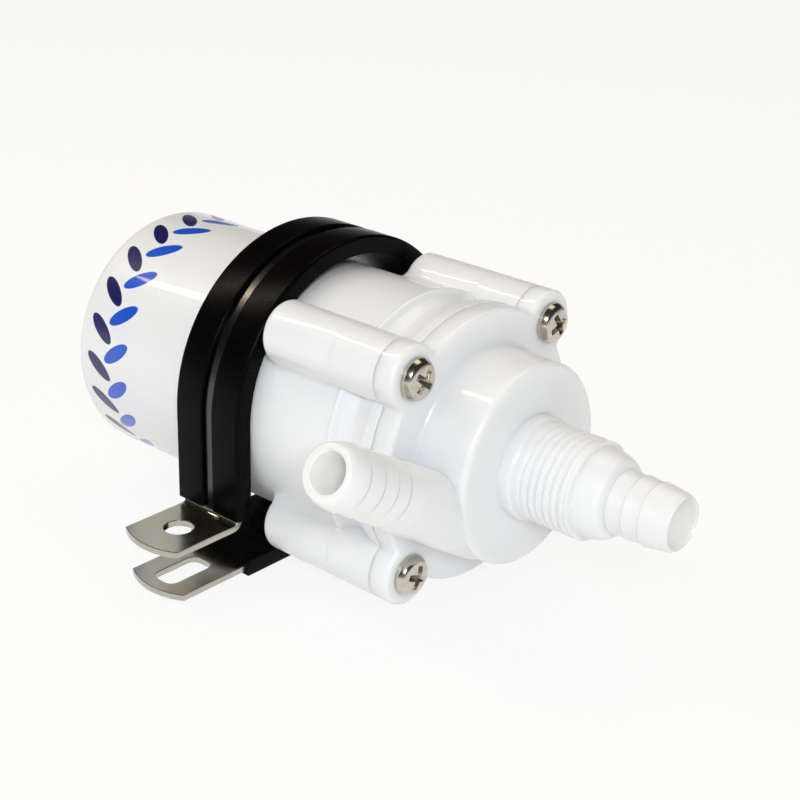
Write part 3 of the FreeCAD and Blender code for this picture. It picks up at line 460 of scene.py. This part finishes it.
# Front cover: flange, pump chamber, threaded inlet spigot and side outlet in one white
# moulding.
def flange_outline(depth):
    """The cover's rim: a disc with four bosses."""
    disc = 29.9 - depth
    boss = boss_outline(disc, 1.0, depth)
    start = math.atan2(boss[-1][1], boss[-1][0])
    made = []
    for corner in corners:
        spin = Matrix.Rotation(corner, 2)
        made += [tuple(spin @ Vector(p)) for p in boss]
        gap = math.pi / 2 - 2 * start
        for k in range(1, 26):
            angle = corner + start + gap * k / 26
            made.append((disc * math.cos(angle), disc * math.sin(angle)))
    return made


thread_crest, thread_pitch, thread_depth = 10.4775, 1.814, 0.62
thread_start, thread_end = 3.2, 16.0


def pipe_thread(x, angle, radius):
    """A worn helical thread: narrow grooves that fade towards the collar and the rim."""
    if not thread_start < x < thread_end:
        return 0.0
    turns = x / thread_pitch - angle / (2 * math.pi)
    groove = (0.5 + 0.5 * math.cos(2 * math.pi * turns)) ** 3
    fade = min(1.0, (x - thread_start) / 3.4) * min(1.0, (thread_end - x) / 0.5)
    return -thread_depth * groove * fade


inlet_front = soften([
    (-14.0, 0.0), (-14.0, 25.2), (-13.27, 25.2), (-13.23, 21.9, 2.7), (0, 21.9, 1.3),
    (0, 11.1, 0.5), (2.6, 11.1, 0.4), (3.1, thread_crest, 0.3),
], closed=False)
thread_run = [(3.3 + 13.2 * k / 160, thread_crest) for k in range(161)]
tail = soften([
    (16.7, thread_crest, 0.1), (16.72, 9.6, 0.15), (19.7, 9.2, 3), (22.2, 8.2, 1.4),
    (22.75, 6.5, 0.3), (22.9, 6.5), (23.25, 6.85, 0.15), (26.35, 6.4, 0.15),
    (26.95, 6.85, 0.15), (30.2, 6.35, 0.15), (30.8, 6.8, 0.15), (35.6, 6.1, 1.2),
    (36.95, 5.5, 0.7), (37.0, 0.0),
], closed=False)
nose = raw_object(turned(inlet_front + thread_run + tail, closed=False, wave=pipe_thread))
rim = raw_object(rounded_ends(flange_outline, -18.15, -13.25, 0.08, 0.95))


def low_front(x, angle, radius):
    """Hold the pipe's root behind the chamber's front face."""
    return -0.17 * radius * max(0.0, math.cos(angle)) ** 2 * min(1.0, max(0.0, (31 - x) / 15))


outlet_x, outlet_off, outlet_turn = -6.65, 15.3, math.radians(148.5)
outlet_way = Vector((0, math.cos(outlet_turn), math.sin(outlet_turn)))
outlet_side = Vector((0, -math.sin(outlet_turn), math.cos(outlet_turn)))
outlet_place = Matrix.Translation(Vector((outlet_x, 0, 0)) + outlet_side * outlet_off) @ Matrix((
    (0, 0, 1, 0), (outlet_way.y, outlet_side.y, 0, 0), (outlet_way.z, outlet_side.z, 0, 0),
    (0, 0, 0, 1)))
outlet_barbs = [(35.9, 6.5, 6.98), (39.85, 6.3, 6.86), (44.1, 6.22, 6.74), (48.85, 6.2, 6.72)]
barb_steps = [point for crest, low, high in outlet_barbs
              for point in ((crest - 0.45, low, 0.1), (crest, high, 0.15))]
pipe = raw_object(turned(soften([
    (0, 0), (0, 7.6), (12, 7.6, 3), (16, 7.5), (20, 7.4), (24, 7.3), (31, 7.12, 3),
    *barb_steps, (52.4, 6.12, 0.8), (53.72, 5.5, 0.6), (53.8, 0),
], closed=False), closed=False, wave=low_front), outlet_place)
chamber = raw_object(turned(soften([
    (-19, 0), (-19, 18.6), (-2.6, 18.6, 0.6), (-2.6, 5.14, 0.4), (36.3, 5.14, 0.5),
    (37.4, 5.75), (37.4, 0),
], closed=False), closed=False))
pipe_bore = raw_object(turned(soften([
    (-2, 0), (-2, 3.9), (18, 3.9), (18.2, 4.1), (53.1, 4.1, 0.5), (54.2, 4.75), (54.2, 0),
], closed=False), closed=False, parts=96), outlet_place)
seat = raw_object(turned([(-18.9, 22.8), (-16.15, 22.8), (-16.15, 25.2), (-18.9, 25.2)]))
holes = [rod(2.2, -19, -12.9, y, z) for y, z in boss_places]


def bright_bores(made, colour):
    """Paint the bores whiter, as light reaches them through their thin walls, and shade
    the narrow steps behind the outlet's barbs."""
    x, y, z = (made.node("ShaderNodeSeparateXYZ", None, made.place, out=axis) * 1000
               for axis in "XYZ")
    back = x - outlet_x
    off = y * outlet_side.y + z * outlet_side.z - outlet_off
    along = y * outlet_way.y + z * outlet_way.z
    from_axis = back * back + off * off
    shade = sum(made.step(along, crest - 0.95, crest - 0.8)
                * (1 - made.step(along, crest - 0.3, crest - 0.2))
                for crest, _, _ in outlet_barbs)
    colour = made.mix_of(shade * (1 - made.step(from_axis, 60, 64)), colour, (0.6, 0.605, 0.59))
    outlet = (1 - made.step(from_axis, 17, 20)) * made.step(along, 18, 20)
    inlet = 1 - made.step(y * y + z * z, 27, 30)
    return made.mix_of(outlet + inlet, colour, (0.975, 0.98, 0.975))


cover_white = white_plastic("cover_white", 0.32, 2.6, bright_bores)
fit_piece(carved(nose, [rim, pipe], [chamber, pipe_bore, seat] + holes),
          "front_cover_moulding", "pump", ["front_cover"], cover_white, 50)


# Cover screws: four long nickel-plated pan heads with a cross recess. They pass through
# cover and volute body, and bite in the motor housing's bosses.
head_profile = soften([
    (-43.25, 0), (-41.35, 1.9), (-13.25, 1.9), (-13.25, 4.5, 0.12), (-12.4, 4.5, 0.5),
    (-11.15, 3.8, 1.4), (-10.58, 1.4, 3), (-10.55, 0),
], closed=False)


def cross_cutter(turn, y, z):
    """A tapered cross, wide at the head's face and narrow at its root."""
    rings = []
    for x, arm, half in ((-13.0, 0.9, 0.3), (-10.35, 3.1, 0.8)):
        outline = []
        for quarter in range(4):
            spin = Matrix.Rotation(turn + quarter * math.pi / 2, 2)
            for p in ((arm, -half), (arm, half), (half, half)):
                outline.append((x, *(spin @ Vector(p))))
        rings.append(outline)
    return raw_object(stacked(rings), Matrix.Translation((0, y, z)))


nickel = Finish("nickel_plate", Metallic=1.0)
wear = nickel.grain(1.6, 3.0)
nickel.feed(Base_Color=nickel.mix_of(wear, (0.46, 0.42, 0.36), (0.70, 0.665, 0.60)),
            Roughness=wear * 0.14 + 0.1)
nickel.bump(nickel.grain(0.5, 2.0), 0.02, 0.25)
screws = []
for (y, z), turn in zip(boss_places, (0.5, 0.9, 1.2, 0.25)):
    screw = raw_object(turned(head_profile, closed=False, parts=72),
                       Matrix.Translation((0, y, z)))
    screws.append(carved(screw, cut=[cross_cutter(turn, y, z)], bevel_mm=0.07))
with bpy.context.temp_override(active_object=screws[0], selected_editable_objects=screws):
    bpy.ops.object.join()
fit_piece(screws[0], "cover_screw_set", "pump", ["cover_screws"], nickel.material, 20)


# Cable gland: a black rubber grommet that grips the rear wall from both sides. The
# motor's leads leave through it.
grommet = raw_object(turned(soften([
    (-113.55, 2.6, 0.4), (-113.55, 6.0, 0.5), (-111.75, 6.6, 0.15), (-111.75, 4.5),
    (-108.75, 4.5), (-108.75, 6.6, 0.15), (-106.95, 6.0, 0.5), (-106.95, 2.6, 0.4),
]), parts=96))
rubber = Finish("clip_rubber", Specular_IOR_Level=0.055)
mottle = rubber.grain(5.0, 3.0)
pores = rubber.grain(0.5, 3.0)
rubber.feed(Base_Color=rubber.mix_of(mottle, (0.0008, 0.0006, 0.0009), (0.0022, 0.0019, 0.002)),
            Roughness=mottle * 0.1 + pores * 0.06 + 0.2)
rubber.bump(pores, 0.03, 0.3)
fit_piece(grommet, "gland_grommet", "pump", ["cable_grommet"], rubber.material)


# P-clip band: one zinc-plated steel strip, 17 mm wide, bent round the pump. Its ends are
# flat tabs for one screw, with a round hole above and a slot below.
clip_x, ring_y, ring_z, band_in, band_out = -61.9, 2.0, 0.5, 32.95, 34.45
tab_z, bend, tab_round, screw_hole, liner_in = -21.6, 1.0, 16.5, 3.2, 31.25


def clip_path(upper_end, lower_end, drop=None):
    """Stations of the strip: a base point and the outward way, in (y, z). It runs from
    the upper tab, or a height on the strap, round the ring to the lower strap's end."""
    made = []
    if drop is None:
        bend_y, bend_z = ring_y - band_out - bend, tab_z + bend
        for y in (upper_end, bend_y):
            made.append((Vector((y, tab_z - band_out)), Vector((0, 1))))
        for k in range(1, 8):
            angle = math.radians(90 + 90 * k / 8)
            way = Vector((math.cos(angle), math.sin(angle)))
            made.append((Vector((bend_y, bend_z)) - way * (bend + band_out), way))
        drop = bend_z
    for z in (drop, drop / 2):
        made.append((Vector((ring_y, z)), Vector((-1, 0))))
    for k in range(109):
        angle = math.radians(180 - 270 * k / 108)
        made.append((Vector((ring_y, ring_z)), Vector((math.cos(angle), math.sin(angle)))))
    for part in (0.5, 1):
        y = ring_y + (lower_end - ring_y) * part
        made.append((Vector((y, ring_z)), Vector((0, -1))))
    return made


def swept(section, path, crown=0.0):
    """Carry a section of (across, radius) along the clip's path. A crown thickens it
    inwards, and more so to the rear, where the housing doesn't press on it."""
    layers = []
    for base, way in path:
        lean = base.dot(way)
        housing = math.sqrt(max(0.0, lean * lean - base.length_squared + skin ** 2)) - lean
        rise = min(crown, max(0.0, 30.9 - housing))
        layers.append([])
        for a, r in section:
            if r == liner_in:
                r -= rise * min(1.0, (9.0 - a) / 9)
            layers[-1].append((clip_x + a, *(base + way * r)))
    return raw_object(stacked(layers))


def tab_end(tip, low, high):
    """What lies outside a tab's rounded end."""
    outline = []
    for k in range(25):
        across = -8.4 + 16.8 * k / 24
        rise = tab_round - math.sqrt(tab_round ** 2 - across ** 2)
        outline.append((clip_x + across, rise - tip))
    left, right = clip_x - 10, clip_x + 10
    outline = [(left, outline[0][1])] + outline + [(right, outline[-1][1])]
    outline += [(right, -tip - 4), (left, -tip - 4)]
    return raw_object(stacked([[(x, y, z) for x, y in outline] for z in (low, high)]))


def slot_cutter(middle, straight, corner, low, high):
    """A slot as wide as the screw hole. A corner of the hole's radius gives round ends."""
    outline = []
    for k in range(48):
        angle = 2 * math.pi * (k + 0.5) / 48
        across = math.copysign(screw_hole - corner, math.cos(angle))
        shift = math.copysign(straight + screw_hole - corner, math.sin(angle))
        outline.append((clip_x + across + corner * math.cos(angle),
                        middle + shift + corner * math.sin(angle)))
    return raw_object(stacked([[(x, y, z) for x, y in outline] for z in (low, high)]))


strip = swept(soften([(-8.4, band_in, 0.2), (8.4, band_in, 0.2), (8.4, band_out, 0.25),
                      (-8.4, band_out, 0.25)]), clip_path(-53.0, -52.0))
band_mesh = carved(strip, cut=[
    tab_end(51.8, -25, -20), tab_end(50.4, -36, -30),
    slot_cutter(-41.8, 0.0, screw_hole, -25, -20), slot_cutter(-41.0, 3.0, 2.1, -36, -30),
], bevel_mm=0.18)
zinc = Finish("zinc_plate", Metallic=1.0)
spangle = zinc.grain(7.0, 3.0)
tint = zinc.grain(4.0, 2.0)
scratch = zinc.grain(0.25, 4.0, (0.08, 1, 1))
plate = zinc.mix_of(spangle, (0.42, 0.405, 0.34), (0.55, 0.53, 0.46))
plate = zinc.mix_of(zinc.step(tint, 0.5, 0.75) * 0.35, plate, (0.50, 0.46, 0.29))
# Painted reflection: the steel between the liner's lips, above the tabs, is painted nearly black
# to stand in for the dark room it would mirror.
across = zinc.node("ShaderNodeSeparateXYZ", None, zinc.place, out="X") * 1000 - clip_x
height = zinc.node("ShaderNodeSeparateXYZ", None, zinc.place, out="Z") * 1000
groove_dark_reflection = (1 - zinc.step(across * across, 2.2, 2.9)) * zinc.step(height, -20.9, -20.1)
plate = zinc.mix_of(groove_dark_reflection * 0.9, plate, (0.045, 0.045, 0.05))
zinc.feed(Base_Color=plate, Roughness=spangle * 0.08 + scratch * 0.07 + 0.15)
zinc.bump(scratch, 0.01, 0.15)
fit_piece(band_mesh, "p_clip_band", "clip", ["clip_band"], zinc.material, 20)


# P-clip liner: a black rubber channel pushed over the band. Its two lips leave a groove
# down the middle, where the steel shows.
liner_section = soften([
    (-9.65, 31.75), (-9.5, 31.4), (-9.15, liner_in),
    *((a, liner_in) for a in (-6, -3, 0, 3, 6, 9)),
    (9.65, liner_in, 0.5), (9.65, 35.4, 0.75), (1.5, 35.4, 0.45),
    (1.5, 34.5, 0.1), (8.45, 34.5, 0.1), (8.45, 32.9, 0.1), (-8.45, 32.9, 0.1),
    (-8.45, 34.5, 0.1), (-1.5, 34.5, 0.1), (-1.5, 35.4, 0.45), (-9.65, 35.4, 0.75),
])
liner = swept(liner_section, clip_path(None, -30.0, drop=-20.3), 2.6)
fit_piece(liner, "p_clip_liner", "clip", ["clip_liner"], rubber.material, 50)


# The photographer's table: a plain white floor under soft lamps, and a white surround.
def flat_sheet(name, size, z):
    mesh = bpy.data.meshes.new(name)
    mesh.from_pydata([(-size, -size, z), (size, -size, z), (size, size, z), (-size, size, z)],
                     [], [(0, 1, 2, 3)])
    return placed(name, mesh)


def seen_by(nodes, *rays):
    """1 for the rays that are named, and 0 for the rest."""
    return sum(nodes.node("ShaderNodeLightPath", out=f"Is {ray} Ray") for ray in rays)


floor = flat_sheet("floor", 6.0, -0.03495)
paper = Finish("floor_paper", Roughness=0.9)
fibre = paper.grain(3.0, 2.0)
paper.feed(Base_Color=paper.mix_of(fibre, (0.92, 0.92, 0.92), (0.95, 0.95, 0.95)))
glow = paper.node("ShaderNodeEmission", None, (1, 1, 1, 1))
shown = seen_by(paper, "Camera", "Glossy", "Transmission") * 0.86
lit = paper.node("ShaderNodeMixShader", None, shown, Wire(paper, paper.shader.outputs[0]), glow)
paper.put(paper.tree.nodes["Material Output"].inputs["Surface"], lit)
floor.data.materials.append(paper.material)

world = bpy.data.worlds.new("surround")
bpy.context.scene.world = world
world.use_nodes = True
sky = Nodes(world.node_tree)
way_up = sky.node("ShaderNodeSeparateXYZ", None, sky.node("ShaderNodeTexCoord"), out="Z")
warm_top = sky.node("ShaderNodeMapRange", None, way_up, -0.2, 0.9)
high = sky.node("ShaderNodeMapRange", None, way_up, 0.12, 0.3)
fill = sky.mix_of(warm_top, (0.42, 0.435, 0.46), (0.47, 0.425, 0.355))
room = sky.mix_of(high, (0.30, 0.31, 0.32), (0.04, 0.035, 0.03))
tone = sky.mix_of(seen_by(sky, "Glossy"), fill, room)
tone = sky.mix_of(seen_by(sky, "Camera"), tone, (1.0, 1.0, 1.0))
sky.put(sky.tree.nodes["Background"].inputs["Color"], tone)


def soft_lamp(name, place, aim, size, watts, colour):
    lamp = bpy.data.lights.new(name, "AREA")
    lamp.shape, lamp.size, lamp.size_y = "RECTANGLE", size[0], size[1]
    lamp.energy, lamp.color = watts, colour
    made = placed(name, lamp)
    made.location = place
    made.rotation_euler = (Vector(aim) - Vector(place)).to_track_quat("-Z", "Y").to_euler()


centre = (-0.04, -0.005, 0.0)
soft_lamp("flash_lamp", (0.57, -0.6, 0.5), centre, (0.2, 0.2), 4.35, (0.94, 0.97, 1.0))
soft_lamp("key_lamp", (-0.2, -0.75, 0.4), centre, (0.5, 0.4), 0.9, (0.93, 0.975, 1.0))
soft_lamp("top_lamp", (-0.1, 0.3, 0.8), centre, (0.6, 0.4), 1.15, (1.0, 0.84, 0.66))
soft_lamp("strip_lamp", (-0.59, -0.21, 0.675), centre, (0.05, 0.5), 1.4, (1.0, 0.88, 0.7))

camera = placed("camera", bpy.data.cameras.new("camera"))
camera.data.sensor_width, camera.data.lens = 36, 73.58
camera.data.clip_start, camera.data.clip_end = 0.01, 20
right, up, behind = (0.7475, 0.6637, 0.0269), (-0.2855, 0.2844, 0.9152), (0.5998, -0.6918, 0.4021)
camera.matrix_world = Matrix.Translation((0.1775, -0.2463, 0.1466)) @ Matrix(
    (right, up, behind)).transposed().to_4x4()
bpy.context.scene.camera = camera
bpy.context.scene.view_settings.view_transform = "Standard"
